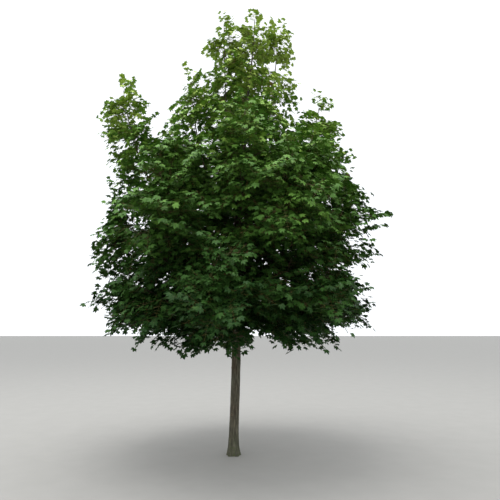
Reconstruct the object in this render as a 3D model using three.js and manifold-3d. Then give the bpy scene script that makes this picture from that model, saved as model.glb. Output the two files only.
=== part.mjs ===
// A young maple in full summer leaf, about 6.5 m tall: one straight clean trunk with a small root flare, two
// rings of spreading boughs, and above them steeper boughs that each end in a leafy spire. Millimetres, +Z
// up. The origin is the middle of the flat cut at ground level. -Y is the front and +X the right. Every limb
// is one curve: its inner share is the bare bough, and the rest is the stem of a mass of foliage.

import * as THREE from "three";
import { mergeVertices } from "three/addons/utils/BufferGeometryUtils.js";
import Module from "manifold-3d";

const wasm = await Module();
wasm.setup();

// Trunk and root flare.
const TRUNK_RADIUS = 61; // from knee height up to the lowest boughs
const FLARE_RADIUS = 92; // at the ground
const FLARE_HEIGHT = 130; // over which the flare falls to about a third
const FLARE_LOBES = 5;
const LOBE_DEPTH = 0.13; // as a share of the flare
const TRUNK_SPLITS = 1400; // where the first bough leaves, and the taper begins
const LEADER_RADIUS = 20; // where the trunk enters the topmost mass
const LEADER_TIP_RADIUS = 5;
const TRUNK_TOP = 4450; // where the trunk enters the topmost mass
const TREE_TIP = 6310; // tip of the topmost stem, which its last leaves pass
// How far the trunk's middle stands to the right, and to the back, of its foot at each height.
const TRUNK_LEAN = [
  { height: 0, right: 0, back: 0 },
  { height: 1360, right: 30, back: 5 },
  { height: 2400, right: 18, back: 20 },
  { height: 3500, right: 30, back: 10 },
  { height: TRUNK_TOP, right: 150, back: 0 },
  { height: TREE_TIP, right: 285, back: 0 },
];

// The two lower rings of limbs. Azimuths run anticlockwise from +X, seen from above, in degrees. attach is
// the height of the first limb on the trunk, and climb the step up to the next. reach and rise are a limb's
// run outwards and upwards, bend the place of its bend as shares of the two, bare its share with no leaves,
// girth the half width of its mass, and swell where along the stem that is (see girthShare). lift is how far
// the tips of the twigs rise, as a share of their length, and spray the length of a leaf, each of which
// stands for a spray of real ones.
const RINGS = [
  {
    name: "low",
    count: 7,
    turn: 214,
    attach: 1390,
    climb: 55,
    reach: 1640,
    rise: 780,
    bend: [0.5, 0.66],
    bare: 0.24,
    girth: 660,
    swell: [0.25, 0.7],
    lift: -0.12,
    spray: 450,
  },
  {
    name: "middle",
    count: 7,
    turn: 189,
    attach: 1780,
    climb: 75,
    reach: 1620,
    rise: 1600,
    bend: [0.6, 0.42],
    bare: 0.27,
    girth: 660,
    swell: [0.25, 0.74],
    lift: -0.1,
    spray: 450,
  },
];
const RING_STRIDE = 3; // the next limb up is this many places round the ring
const RISE_LOST = 0.6; // how much less a limb rises for starting higher, as a share of that height
const AZIMUTH_JITTER = 6;
const SIZE_JITTER = 0.05;

// Above the rings each limb has its own reach, and turns up into a spire whose stem ends at the height top.
const SPIRE_SHAPE = {
  bend: [0.82, 0.3],
  bare: 0.5,
  girth: 560,
  swell: [0.32, 0.88],
  lift: 0.12,
  spray: 420,
};
const SPIRES = [
  { name: "left", azimuth: 191, attach: 2380, reach: 1640, top: 5000, girth: 440 },
  { name: "left_front", azimuth: 234, attach: 2640, reach: 1330, top: 3960 },
  { name: "front", azimuth: 276, attach: 2300, reach: 1340, top: 4280 },
  { name: "right_front", azimuth: 316, attach: 2500, reach: 1380, top: 4060 },
  { name: "right", azimuth: 348, attach: 2720, reach: 1210, top: 4760, girth: 470 },
  { name: "right_low", azimuth: 12, attach: 2420, reach: 1620, top: 4180, girth: 500 },
  { name: "back_right", azimuth: 48, attach: 2580, reach: 1380, top: 4480 },
  { name: "back", azimuth: 92, attach: 2340, reach: 1320, top: 4660 },
  { name: "back_left", azimuth: 138, attach: 2660, reach: 1420, top: 4560 },
];

// The heart of the crown: steep limbs close to the trunk's top, which goes on as the leader.
const HEART_SHAPE = {
  bend: [0.8, 0.3],
  bare: 0.46,
  girth: 500,
  swell: [0.3, 0.86],
  lift: 0.12,
  spray: 370,
};
const UPRIGHT_SHAPE = {
  bend: [0.8, 0.3],
  bare: 0.5,
  girth: 440,
  swell: [0.34, 0.84],
  lift: 0.12,
  spray: 340,
};
const LEADER_SHAPE = {
  girth: 460,
  swell: [0.4, 0.84],
  lift: 0.12,
  spray: 350,
};
const HEART = [
  { name: "left_inner", azimuth: 211, attach: 2960, reach: 760, top: 5080 },
  { name: "right_inner", azimuth: 322, attach: 3020, reach: 680, top: 4840 },
  { name: "back_inner", azimuth: 80, attach: 3100, reach: 560, top: 5540 },
];
const UPRIGHTS = [
  { name: "left_upright", azimuth: 190, attach: 3150, reach: 210, top: 6190, girth: 390 },
  { name: "right_upright", azimuth: 12, attach: 3200, reach: 640, top: 6170, bare: 0.6 },
];

// The first seed of each group of limbs, and how the streams of random numbers are shared out from there.
const SEEDS = { low: 100, middle: 200, spires: 300, heart: 400, uprights: 500, leader: 600 };
const STREAMS_PER_LIMB = 100; // one for each twig
const TIP_STREAM = 99; // and this one for the leaves at the stem's tip

const LIMB_ROOT_PER_LENGTH = 0.0078; // root radius of a limb over its length
const LIMB_TIP_RADIUS = 4.5;
const LIMB_TAPER = 0.8; // power of the taper: below 1 a limb thins sooner near its root

// The rule for what grows on a stem. Twigs stand in pairs, opposite each other.
const TWIG_PAIRS = 3;
const FIRST_PAIR = 0.129; // place of the lowest pair, as a share of the stem
const LAST_PAIR = 0.774;
const FIRST_TURN = 45; // degrees from the level to the first twig of the lowest pair
const PAIR_TURN = 90; // and from each pair to the next
const TURN_JITTER = 20;
const GIRTH_JITTER = 0.1;
const TWIG_ANGLE_LOW = 70; // degrees between stem and twig, at the stem's foot
const TWIG_ANGLE_HIGH = 36; // and at its tip
const TWIG_ROOT_SHARE = 0.5; // root radius of a twig over the stem's radius there
const TWIG_TIP_SHARE = 0.6; // tip radius of a twig over its root radius
const SHORTEST_TWIG = 60;
const END_LEAF_SHARE = 0.6; // share of a twig's last leaf that counts towards the mass's girth
const LEAF_SUNK = 0.5; // how far a leaf's root passes the middle of its twig

// A leaf is flat below, and has a ridge along its middle.
const SPRAY_THICKNESS = 8; // at the ridge
const SPRAY_DROOP = 0.4; // how far a leaf turns down from its twig
// Which way a leaf faces: the sum of these shares of up, away from the trunk, and some side of its own.
const FACES_UP = 0.65;
const FACES_OUT = 0.35;
const FACES_ASIDE = 0.55;
// A twig ends in a leaf of three lobes. Its half widths stand at these shares of its length.
const LOBED_OUTLINE = [
  { along: 0.4, half: 0.58 },
  { along: 0.62, half: 0.31 },
  { along: 1, half: 0 },
];
// The other leaves have one point.
const POINTED_WIDEST = 0.45;
const POINTED_HALF = 0.56;
const POINTED_RIDGE = 0.28;
// Sizes tried in turn, until one keeps to its space: shares of a twig's length and of its leaf's.
const TWIG_SIZES = [
  { reach: 1, leaf: 1 },
  { reach: 0.8, leaf: 1 },
  { reach: 0.8, leaf: 0.8 },
  { reach: 0.6, leaf: 0.8 },
  { reach: 0.5, leaf: 0.65 },
];
const SPRAY_SIZES = [1, 0.88];
const SPRAY_SWINGS = [1, 1.8, -1]; // and these shares of a leaf's swing to the side
// Where leaves sit along a twig, and how far each swings to one side of it.
const TWIG_LEAVES = [
  { place: 0.2, swing: -2.2 },
  { place: 0.45, swing: 1.8 },
  { place: 0.62, swing: -1.8 },
  { place: 0.85, swing: 1.5 },
];
const TILT_JITTER = 0.4; // radians, in the side that a leaf faces
// The stem's last leaves: the first goes straight on, and the others swing out round it.
const STEM_TIP_LEAVES = 3;
const STEM_TIP_SIZE = 0.75;
const STEM_TIP_STEP = 0.02; // from one to the next, as a share of the curve
const STEM_TIP_SWING = 0.9;
// How far across its overlap with the mass so far may be: where it is more, a leaf or twig crosses another.
const LEAF_OVERLAP = 40;
const TWIG_OVERLAP = 60;

// Clear gaps, and the lowest point that a leaf may hang to.
const JOINT_GAP = 0.3;
const MASS_GAP = 4;
const LIMB_GAP = 2;
const CROWN_BASE = 1290;

const LIMB_SIDES = 5;
const LIMB_RINGS = 3;
const TRUNK_SIDES = 15;
const TRUNK_RINGS = 11;
const TRUNK_RING_CROWDING = 1.8; // above 1 the rings crowd towards the flare
const STEM_SIDES = 4;
const STEM_RINGS = 3;
const SITE_SHARES = [0.1, 0.35, 0.62, 0.9]; // places on a stem that mark out its mass's space
const MERGE_WITHIN = 1e-3; // vertices of a geometry closer than this are one

const bark = new THREE.MeshStandardMaterial({ color: 0x51473d, roughness: 0.9, metalness: 0 });
const leafGreen = new THREE.MeshStandardMaterial({ color: 0x2f5a1c, roughness: 0.6, metalness: 0 });

const UP = new THREE.Vector3(0, 0, 1);
const lerp = THREE.MathUtils.lerp;
const degrees = THREE.MathUtils.degToRad;

// A repeatable stream of numbers from 0 to 1, the same for the same seed.
function randomStream(seed) {
  let state = Math.imul(seed + 1, 0x9e3779b1);
  return () => {
    state = (state + 0x6d2b79f5) | 0;
    let mixed = Math.imul(state ^ (state >>> 15), 1 | state);
    mixed = (mixed + Math.imul(mixed ^ (mixed >>> 7), 61 | mixed)) ^ mixed;
    return ((mixed ^ (mixed >>> 14)) >>> 0) / 2 ** 32;
  };
}

function spread(random, reach) {
  return (2 * random() - 1) * reach;
}

function outward(angle) {
  return new THREE.Vector3(Math.cos(angle), Math.sin(angle), 0);
}

// The trunk's middle at a height, eased from each place of TRUNK_LEAN to the next.
function trunkMiddle(height) {
  const above = Math.max(1, TRUNK_LEAN.findIndex((place) => place.height >= height));
  const [low, high] = [TRUNK_LEAN[above - 1], TRUNK_LEAN[above]];
  const share = THREE.MathUtils.smoothstep(height, low.height, high.height);
  return new THREE.Vector3(lerp(low.right, high.right, share), lerp(low.back, high.back, share), height);
}

class TrunkAxis extends THREE.Curve {
  getPoint(t, target = new THREE.Vector3()) {
    return target.copy(trunkMiddle(t * TREE_TIP));
  }
}

function trunkRadius(height) {
  if (height < TRUNK_SPLITS) {
    return TRUNK_RADIUS + (FLARE_RADIUS - TRUNK_RADIUS) * Math.exp(-height / FLARE_HEIGHT);
  }
  if (height < TRUNK_TOP) {
    return THREE.MathUtils.mapLinear(height, TRUNK_SPLITS, TRUNK_TOP, TRUNK_RADIUS, LEADER_RADIUS);
  }
  return THREE.MathUtils.mapLinear(height, TRUNK_TOP, TREE_TIP, LEADER_RADIUS, LEADER_TIP_RADIUS);
}

// The flare stands out in lobes, where the main roots go down.
function flaredRadius(height, angle) {
  const flare = Math.exp(-height / FLARE_HEIGHT) * LOBE_DEPTH * Math.cos(FLARE_LOBES * angle);
  return trunkRadius(height) * (1 + flare);
}

// A limb's plan: its curve, radius along it, the shares that are bough and stem, and what its mass needs.
function limbPlan({ azimuth, attach, reach, rise, bend, ...limb }, seed) {
  const angle = degrees(azimuth);
  const out = outward(angle);
  const foot = trunkMiddle(attach);
  const turn = foot.clone().addScaledVector(out, reach * bend[0]).addScaledVector(UP, rise * bend[1]);
  const tip = foot.clone().addScaledVector(out, reach).addScaledVector(UP, rise);
  const curve = new THREE.QuadraticBezierCurve3(foot, turn, tip);
  const root = curve.getLength() * LIMB_ROOT_PER_LENGTH;
  const radiusAt = (t) => lerp(root, LIMB_TIP_RADIUS, t ** LIMB_TAPER);
  return { ...limb, curve, radiusAt, sideways: outward(angle + Math.PI / 2), seed };
}

function ringPlans(ring) {
  return Array.from({ length: ring.count }, (_, place) => {
    const seed = SEEDS[ring.name] + place;
    const random = randomStream(seed);
    const climb = ring.climb * ((place * RING_STRIDE) % ring.count);
    const limb = {
      ...ring,
      name: `${ring.name}_${place + 1}`,
      azimuth: ring.turn + (360 * place) / ring.count + spread(random, AZIMUTH_JITTER),
      attach: ring.attach + climb,
      reach: ring.reach * (1 + spread(random, SIZE_JITTER)),
      rise: ring.rise * (1 + spread(random, SIZE_JITTER)) - RISE_LOST * climb,
    };
    return limbPlan(limb, seed);
  });
}

function spirePlans(spires, shape, firstSeed) {
  return spires.map((spire, number) =>
    limbPlan({ ...shape, ...spire, rise: spire.top - spire.attach }, firstSeed + number),
  );
}

// The trunk goes on as the stem of the topmost mass.
function leaderPlan() {
  return {
    ...LEADER_SHAPE,
    name: "leader",
    curve: new TrunkAxis(),
    radiusAt: (t) => trunkRadius(t * TREE_TIP),
    bare: TRUNK_TOP / TREE_TIP,
    sideways: new THREE.Vector3(0, 1, 0),
    seed: SEEDS.leader,
  };
}

function allPlans() {
  const plans = [
    ...RINGS.flatMap(ringPlans),
    ...spirePlans(SPIRES, SPIRE_SHAPE, SEEDS.spires),
    ...spirePlans(HEART, HEART_SHAPE, SEEDS.heart),
    ...spirePlans(UPRIGHTS, UPRIGHT_SHAPE, SEEDS.uprights),
    leaderPlan(),
  ];
  for (const plan of plans) {
    plan.sites = SITE_SHARES.map((share) => plan.curve.getPoint(lerp(plan.bare, 1, share)));
  }
  return plans;
}

// The direction square to along that is nearest to sideways.
function squareTo(along, sideways) {
  return sideways.clone().addScaledVector(along, -sideways.dot(along)).normalize();
}

// A cylinder whose vertices are moved onto the stretch of a curve between two places. radiusAt gives the
// radius for the place t on the curve and the angle round it, and spacing how the rings are spread over it.
function limbGeometry({ curve, from, to, radiusAt, sideways, sides, rings, spacing = (share) => share }) {
  const geometry = new THREE.CylinderGeometry(1, 1, 1, sides, rings);
  const place = geometry.attributes.position;
  for (let i = 0; i < place.count; i++) {
    const t = lerp(from, to, spacing(place.getY(i) + 0.5));
    const along = curve.getTangent(t);
    const across = squareTo(along, sideways);
    const third = new THREE.Vector3().crossVectors(across, along);
    const [x, z] = [place.getX(i), place.getZ(i)];
    const radius = radiusAt(t, Math.atan2(z, x));
    const point = curve.getPoint(t).addScaledVector(across, radius * x).addScaledVector(third, radius * z);
    place.setXYZ(i, point.x, point.y, point.z);
  }
  return geometry;
}

// A leaf with one point: a sphere of three sides and two rings of faces, with its poles at the leaf's root
// and tip, two corners at the sides and one on the ridge. across is the direction of its width.
function leafGeometry(root, along, across, length) {
  const geometry = new THREE.SphereGeometry(1, 3, 2);
  const place = geometry.attributes.position;
  const facing = new THREE.Vector3().crossVectors(across, along);
  for (let i = 0; i < place.count; i++) {
    const row = Math.round(place.getY(i));
    const point = root.clone();
    if (row === 1) {
      point.addScaledVector(along, length);
    } else if (row === 0 && place.getX(i) < 0) {
      point.addScaledVector(along, POINTED_RIDGE * length).addScaledVector(facing, SPRAY_THICKNESS);
    } else if (row === 0) {
      point.addScaledVector(along, POINTED_WIDEST * length);
      point.addScaledVector(across, Math.sign(place.getZ(i)) * POINTED_HALF * length);
    }
    place.setXYZ(i, point.x, point.y, point.z);
  }
  return geometry;
}

// A section of a twig, an even triangle with one corner on top.
function triangleSection(middle, along, radius) {
  return { middle, along, half: radius * Math.sin(Math.PI / 3), ridge: radius, flat: -radius / 2 };
}

// A three-sided twig that ends in a lobed leaf: a cone whose vertices are moved onto sections. Each section
// has its middle, the direction along, its half width, and the heights of its ridge and flat underside.
function twigGeometry(twig, drooping, across, leafLength) {
  const end = twig.start.clone().addScaledVector(twig.direction, twig.reach);
  const blade = LOBED_OUTLINE.map(({ along, half }) => ({
    middle: end.clone().addScaledVector(drooping, along * leafLength),
    along: drooping,
    half: half * leafLength,
    ridge: SPRAY_THICKNESS,
    flat: 0,
  }));
  const stalk = [
    triangleSection(twig.start, twig.direction, twig.radius),
    triangleSection(end, twig.direction, twig.radius * TWIG_TIP_SHARE),
  ];
  const sections = [...stalk, ...blade];
  const rings = sections.length - 1;
  const geometry = new THREE.CylinderGeometry(0, 1, 1, 3, rings);
  const place = geometry.attributes.position;
  for (let i = 0; i < place.count; i++) {
    const [x, y, z] = [place.getX(i), place.getY(i), place.getZ(i)];
    const section = sections[Math.round((y + 0.5) * rings)];
    const point = section.middle.clone();
    if (x !== 0 || z !== 0) {
      const facing = new THREE.Vector3().crossVectors(across, section.along).normalize();
      point.addScaledVector(facing, z > 0 ? section.ridge : section.flat);
      point.addScaledVector(across, z > 0 ? 0 : Math.sign(x) * section.half);
    }
    place.setXYZ(i, point.x, point.y, point.z);
  }
  return geometry;
}

function solidOf(geometry) {
  geometry.deleteAttribute("normal");
  geometry.deleteAttribute("uv");
  const merged = mergeVertices(geometry, MERGE_WITHIN);
  const mesh = new wasm.Mesh({
    numProp: 3,
    vertProperties: merged.attributes.position.array,
    triVerts: new Uint32Array(merged.index.array),
  });
  return new wasm.Manifold(mesh);
}

function cornersOf(geometry) {
  const place = geometry.attributes.position;
  return Array.from({ length: place.count }, (_, i) => new THREE.Vector3().fromBufferAttribute(place, i));
}

// The longest side of the box round a solid.
function breadth(solid) {
  const { min, max } = solid.boundingBox();
  return Math.max(max[0] - min[0], max[1] - min[1], max[2] - min[2]);
}

// A named mesh whose own origin is at a point of the tree.
function meshOf(name, solid, at, material) {
  const { vertProperties, triVerts } = solid.getMesh();
  const geometry = new THREE.BufferGeometry();
  geometry.setAttribute("position", new THREE.BufferAttribute(new Float32Array(vertProperties), 3));
  geometry.setIndex(new THREE.BufferAttribute(new Uint32Array(triVerts), 1));
  geometry.translate(-at.x, -at.y, -at.z);
  geometry.computeVertexNormals();
  const mesh = new THREE.Mesh(geometry, material);
  mesh.name = name;
  mesh.position.copy(at);
  return mesh;
}

function trunkSolid(extra = 0) {
  return solidOf(
    limbGeometry({
      curve: new TrunkAxis(),
      from: 0,
      to: TRUNK_TOP / TREE_TIP,
      radiusAt: (t, angle) => flaredRadius(t * TREE_TIP, angle) + extra,
      sideways: new THREE.Vector3(0, 1, 0),
      sides: TRUNK_SIDES,
      rings: TRUNK_RINGS,
      spacing: (share) => share ** TRUNK_RING_CROWDING,
    }),
  );
}

// The bare part of a limb, made thicker all round by extra.
function boughSolid(plan, extra = 0) {
  const radiusAt = (t) => plan.radiusAt(t) + extra;
  return solidOf(
    limbGeometry({ ...plan, from: 0, to: plan.bare, radiusAt, sides: LIMB_SIDES, rings: LIMB_RINGS }),
  );
}

// The leafy part of a limb, which starts clear of the bough's tip.
function stemSolid(plan, extra = 0) {
  const step = 1e-3;
  const speed = plan.curve.getPoint(plan.bare + step).distanceTo(plan.curve.getPoint(plan.bare)) / step;
  const from = plan.bare + JOINT_GAP / speed;
  const radiusAt = (t) => plan.radiusAt(t) + extra;
  return solidOf(limbGeometry({ ...plan, from, to: 1, radiusAt, sides: STEM_SIDES, rings: STEM_RINGS }));
}

// Whether each point lies nearer to its own mass's stem than to any other's.
function keepsToSpace(points, plan, plans) {
  const nearest = (point, sites) => Math.min(...sites.map((site) => site.distanceTo(point)));
  const others = plans.filter((other) => other !== plan).flatMap((other) => other.sites);
  return points.every(
    (point) => point.z > CROWN_BASE && nearest(point, plan.sites) + MASS_GAP < nearest(point, others),
  );
}

// The half width of a mass at a share of its stem. swell gives the stretch of a half wave that it follows.
function girthShare(plan, share) {
  return Math.sin(Math.PI * lerp(plan.swell[0], plan.swell[1], share));
}

// The twigs that a stem would have, in pairs, each with its own stream of numbers for its leaves.
function twigPlans(plan) {
  const twigs = [];
  for (let number = 0; number < 2 * TWIG_PAIRS; number++) {
    const random = randomStream(STREAMS_PER_LIMB * plan.seed + number);
    const pair = Math.floor(number / 2);
    const share = lerp(FIRST_PAIR, LAST_PAIR, pair / (TWIG_PAIRS - 1));
    const turn = degrees(180 * number + PAIR_TURN * pair + FIRST_TURN + spread(random, TURN_JITTER));
    const t = lerp(plan.bare, 1, share);
    const along = plan.curve.getTangent(t);
    const side = squareTo(along, plan.sideways).applyAxisAngle(along, turn);
    const lean = degrees(lerp(TWIG_ANGLE_LOW, TWIG_ANGLE_HIGH, share));
    const direction = along.clone().multiplyScalar(Math.cos(lean)).addScaledVector(side, Math.sin(lean));
    direction.addScaledVector(UP, plan.lift).normalize();
    const girth = plan.girth * girthShare(plan, share) * (1 + spread(random, GIRTH_JITTER));
    const reach = Math.max(girth - END_LEAF_SHARE * plan.spray, SHORTEST_TWIG);
    const radius = plan.radiusAt(t) * TWIG_ROOT_SHARE;
    const tilt = 2 * Math.PI * random();
    const flip = random() < 0.5 ? -1 : 1;
    twigs.push({ start: plan.curve.getPoint(t), direction, reach, radius, tilt, flip, random });
  }
  return twigs;
}

// A leaf's two directions, along it and across it. It droops from its heading, and its face looks up and to
// the side of tilt, more often away from the trunk.
function leafFrame(root, heading, tilt) {
  const facing = new THREE.Vector3(root.x, root.y, 0).normalize().multiplyScalar(FACES_OUT);
  facing.addScaledVector(outward(tilt), FACES_ASIDE).addScaledVector(UP, FACES_UP).normalize();
  const along = heading.clone().addScaledVector(UP, -SPRAY_DROOP);
  along.addScaledVector(facing, -along.dot(facing)).normalize();
  return { along, across: new THREE.Vector3().crossVectors(along, facing) };
}

// A mass of foliage: a stem, pairs of twigs that each end in a leaf, and more leaves along them and at the
// stem's tip. What would leave the mass's space, touch a limb or another mass, or cross other leaves is tried
// smaller or turned, and then skipped.
function foliageSolid(plan, plans, limbs, masses) {
  const solids = limbs.filter((limb) => limb.plan !== plan || limb.isBough).map((limb) => limb.solid);
  const clearOf = [...solids, ...masses];
  let mass = stemSolid(plan);
  const joins = (geometry, overlap) => {
    if (!keepsToSpace(cornersOf(geometry), plan, plans)) {
      return false;
    }
    const solid = solidOf(geometry);
    const touches = clearOf.some((other) => !solid.intersect(other).isEmpty());
    if (touches || breadth(solid.intersect(mass)) > overlap) {
      return false;
    }
    mass = mass.add(solid);
    return true;
  };
  const addLeaf = (root, heading, side, swing, scale, tilt) => {
    for (const size of SPRAY_SIZES) {
      for (const share of SPRAY_SWINGS) {
        const turned = heading.clone().addScaledVector(side, swing * share).normalize();
        const { along, across } = leafFrame(root, turned, tilt);
        const sunk = root.clone().addScaledVector(along, -LEAF_SUNK);
        if (joins(leafGeometry(sunk, along, across, scale * size * plan.spray), LEAF_OVERLAP)) {
          return;
        }
      }
    }
  };
  const grown = [];
  for (const twig of twigPlans(plan)) {
    const { along, across } = leafFrame(twig.start, twig.direction, twig.tilt);
    for (const size of TWIG_SIZES) {
      const sized = { ...twig, reach: twig.reach * size.reach };
      if (joins(twigGeometry(sized, along, across, size.leaf * plan.spray), TWIG_OVERLAP)) {
        grown.push(sized);
        break;
      }
    }
  }
  for (const { start, direction, reach, tilt, flip, random } of grown) {
    const { across } = leafFrame(start, direction, tilt);
    for (const { place, swing } of TWIG_LEAVES) {
      const root = start.clone().addScaledVector(direction, place * reach);
      addLeaf(root, direction, across, swing * flip, 1, tilt + spread(random, TILT_JITTER));
    }
  }
  const random = randomStream(STREAMS_PER_LIMB * plan.seed + TIP_STREAM);
  const tipTurn = 2 * Math.PI * random();
  for (let number = 0; number < STEM_TIP_LEAVES; number++) {
    const turn = (2 * Math.PI * number) / STEM_TIP_LEAVES + tipTurn;
    const root = plan.curve.getPoint(1 - STEM_TIP_STEP * (number + 0.5));
    const swing = number === 0 ? 0 : STEM_TIP_SWING;
    addLeaf(root, plan.curve.getTangent(1), outward(turn), swing, STEM_TIP_SIZE, turn);
  }
  // The largest body is the mass. Any other is a scrap, or the wall of a hollow that the leaves have closed.
  return mass.decompose().reduce((most, body) => (body.volume() > most.volume() ? body : most));
}

function build() {
  const plans = allPlans();
  const boughPlans = plans.filter((plan) => plan.name !== "leader");
  const tree = new THREE.Group();
  tree.name = "maple_tree";
  tree.add(meshOf("trunk", trunkSolid(), new THREE.Vector3(), bark));
  let taken = trunkSolid(JOINT_GAP);
  for (const plan of boughPlans) {
    tree.add(meshOf(`bough_${plan.name}`, boughSolid(plan).subtract(taken), plan.curve.getPoint(0), bark));
    taken = taken.add(boughSolid(plan, JOINT_GAP));
  }
  const limbs = [
    { solid: trunkSolid(LIMB_GAP), isBough: true },
    ...boughPlans.map((plan) => ({ plan, solid: boughSolid(plan, LIMB_GAP), isBough: true })),
    ...plans.map((plan) => ({ plan, solid: stemSolid(plan, LIMB_GAP), isBough: false })),
  ];
  const masses = [];
  for (const plan of plans) {
    masses.push(foliageSolid(plan, plans, limbs, masses));
    tree.add(meshOf(`foliage_${plan.name}`, masses.at(-1), plan.curve.getPoint(plan.bare), leafGreen));
  }
  return tree;
}

export default build();
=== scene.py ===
# The looks of the young maple: bark with relief on trunk and boughs, and twigs and lobed leaves that grow on
# from the limbs by the rule of the solids. Metres, +Z up, in the frame's own axes: -Y is the front, and +X
# the right.

import math
from dataclasses import dataclass
from functools import partial

import bpy
import numpy as np
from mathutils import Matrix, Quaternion, Vector, noise


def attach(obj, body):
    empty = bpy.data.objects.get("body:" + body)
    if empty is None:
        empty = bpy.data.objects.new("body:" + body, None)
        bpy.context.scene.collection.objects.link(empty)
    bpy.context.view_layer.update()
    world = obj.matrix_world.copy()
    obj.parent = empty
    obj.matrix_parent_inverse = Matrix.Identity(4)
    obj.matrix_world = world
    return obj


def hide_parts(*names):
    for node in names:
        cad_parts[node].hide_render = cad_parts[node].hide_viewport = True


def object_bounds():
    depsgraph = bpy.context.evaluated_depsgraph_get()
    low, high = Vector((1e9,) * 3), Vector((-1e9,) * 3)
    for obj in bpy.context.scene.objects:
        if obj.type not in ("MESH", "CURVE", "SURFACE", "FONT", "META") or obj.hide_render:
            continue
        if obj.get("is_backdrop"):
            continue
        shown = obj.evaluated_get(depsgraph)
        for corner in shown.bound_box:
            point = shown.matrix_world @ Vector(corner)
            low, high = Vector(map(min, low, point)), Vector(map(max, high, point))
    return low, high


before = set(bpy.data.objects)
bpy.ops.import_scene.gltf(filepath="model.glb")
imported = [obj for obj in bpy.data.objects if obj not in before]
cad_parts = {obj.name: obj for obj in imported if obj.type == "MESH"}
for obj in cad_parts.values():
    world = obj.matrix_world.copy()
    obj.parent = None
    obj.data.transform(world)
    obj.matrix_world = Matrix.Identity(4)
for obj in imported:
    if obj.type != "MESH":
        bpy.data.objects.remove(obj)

CAD_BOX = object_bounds()
UP = Vector((0, 0, 1))

# The skeleton, as the solids have it.

TRUNK_RADIUS = 0.061
FLARE_RADIUS = 0.092
FLARE_HEIGHT = 0.13
FLARE_LOBES = 5
LOBE_DEPTH = 0.13
TRUNK_SPLITS = 1.4
LEADER_RADIUS = 0.02
LEADER_TIP_RADIUS = 0.005
TRUNK_TOP = 4.45
TREE_TIP = 6.31
# How far the trunk's middle stands to the right, and to the back, of its foot at each height.
TRUNK_LEAN = (
    {"height": 0, "right": 0, "back": 0},
    {"height": 1.36, "right": 0.03, "back": 0.005},
    {"height": 2.4, "right": 0.018, "back": 0.02},
    {"height": 3.5, "right": 0.03, "back": 0.01},
    {"height": TRUNK_TOP, "right": 0.15, "back": 0},
    {"height": TREE_TIP, "right": 0.285, "back": 0},
)

# The two lower rings of limbs, with the names and meanings that the solids' source gives them.
RINGS = (
    {
        "name": "low",
        "count": 7,
        "turn": 214,
        "attach": 1.39,
        "climb": 0.055,
        "reach": 1.64,
        "rise": 0.78,
        "bend": (0.5, 0.66),
        "bare": 0.24,
        "girth": 0.66,
        "swell": (0.25, 0.7),
        "lift": -0.12,
        "spray": 0.45,
    },
    {
        "name": "middle",
        "count": 7,
        "turn": 189,
        "attach": 1.78,
        "climb": 0.075,
        "reach": 1.62,
        "rise": 1.6,
        "bend": (0.6, 0.42),
        "bare": 0.27,
        "girth": 0.66,
        "swell": (0.25, 0.74),
        "lift": -0.1,
        "spray": 0.45,
    },
)
RING_STRIDE = 3
RISE_LOST = 0.6
AZIMUTH_JITTER = 6
SIZE_JITTER = 0.05

SPIRE_SHAPE = {
    "bend": (0.82, 0.3),
    "bare": 0.5,
    "girth": 0.56,
    "swell": (0.32, 0.88),
    "lift": 0.12,
    "spray": 0.42,
}
SPIRES = (
    {"name": "left", "azimuth": 191, "attach": 2.38, "reach": 1.64, "top": 5.0, "girth": 0.44},
    {"name": "left_front", "azimuth": 234, "attach": 2.64, "reach": 1.33, "top": 3.96},
    {"name": "front", "azimuth": 276, "attach": 2.3, "reach": 1.34, "top": 4.28},
    {"name": "right_front", "azimuth": 316, "attach": 2.5, "reach": 1.38, "top": 4.06},
    {"name": "right", "azimuth": 348, "attach": 2.72, "reach": 1.21, "top": 4.76, "girth": 0.47},
    {"name": "right_low", "azimuth": 12, "attach": 2.42, "reach": 1.62, "top": 4.18, "girth": 0.5},
    {"name": "back_right", "azimuth": 48, "attach": 2.58, "reach": 1.38, "top": 4.48},
    {"name": "back", "azimuth": 92, "attach": 2.34, "reach": 1.32, "top": 4.66},
    {"name": "back_left", "azimuth": 138, "attach": 2.66, "reach": 1.42, "top": 4.56},
)
HEART_SHAPE = {
    "bend": (0.8, 0.3),
    "bare": 0.46,
    "girth": 0.5,
    "swell": (0.3, 0.86),
    "lift": 0.12,
    "spray": 0.37,
}
HEART = (
    {"name": "left_inner", "azimuth": 211, "attach": 2.96, "reach": 0.76, "top": 5.08},
    {"name": "right_inner", "azimuth": 322, "attach": 3.02, "reach": 0.68, "top": 4.84},
    {"name": "back_inner", "azimuth": 80, "attach": 3.1, "reach": 0.56, "top": 5.54},
)
UPRIGHT_SHAPE = {
    "bend": (0.8, 0.3),
    "bare": 0.5,
    "girth": 0.44,
    "swell": (0.34, 0.84),
    "lift": 0.12,
    "spray": 0.34,
}
UPRIGHTS = (
    {"name": "left_upright", "azimuth": 190, "attach": 3.15, "reach": 0.21, "top": 6.19, "girth": 0.39},
    {"name": "right_upright", "azimuth": 12, "attach": 3.2, "reach": 0.64, "top": 6.17, "bare": 0.6},
)
LEADER_SHAPE = {"girth": 0.46, "swell": (0.4, 0.84), "lift": 0.12, "spray": 0.35}

SEEDS = {"low": 100, "middle": 200, "spires": 300, "heart": 400, "uprights": 500, "leader": 600}
STREAMS_PER_LIMB = 100
TIP_STREAM = 99
OUTER_STREAM = 98

LENGTH_STEPS = 50  # straight parts by which a limb's length is measured
LIMB_ROOT_PER_LENGTH = 0.0078
LIMB_TIP_RADIUS = 0.0045
LIMB_TAPER = 0.8

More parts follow.
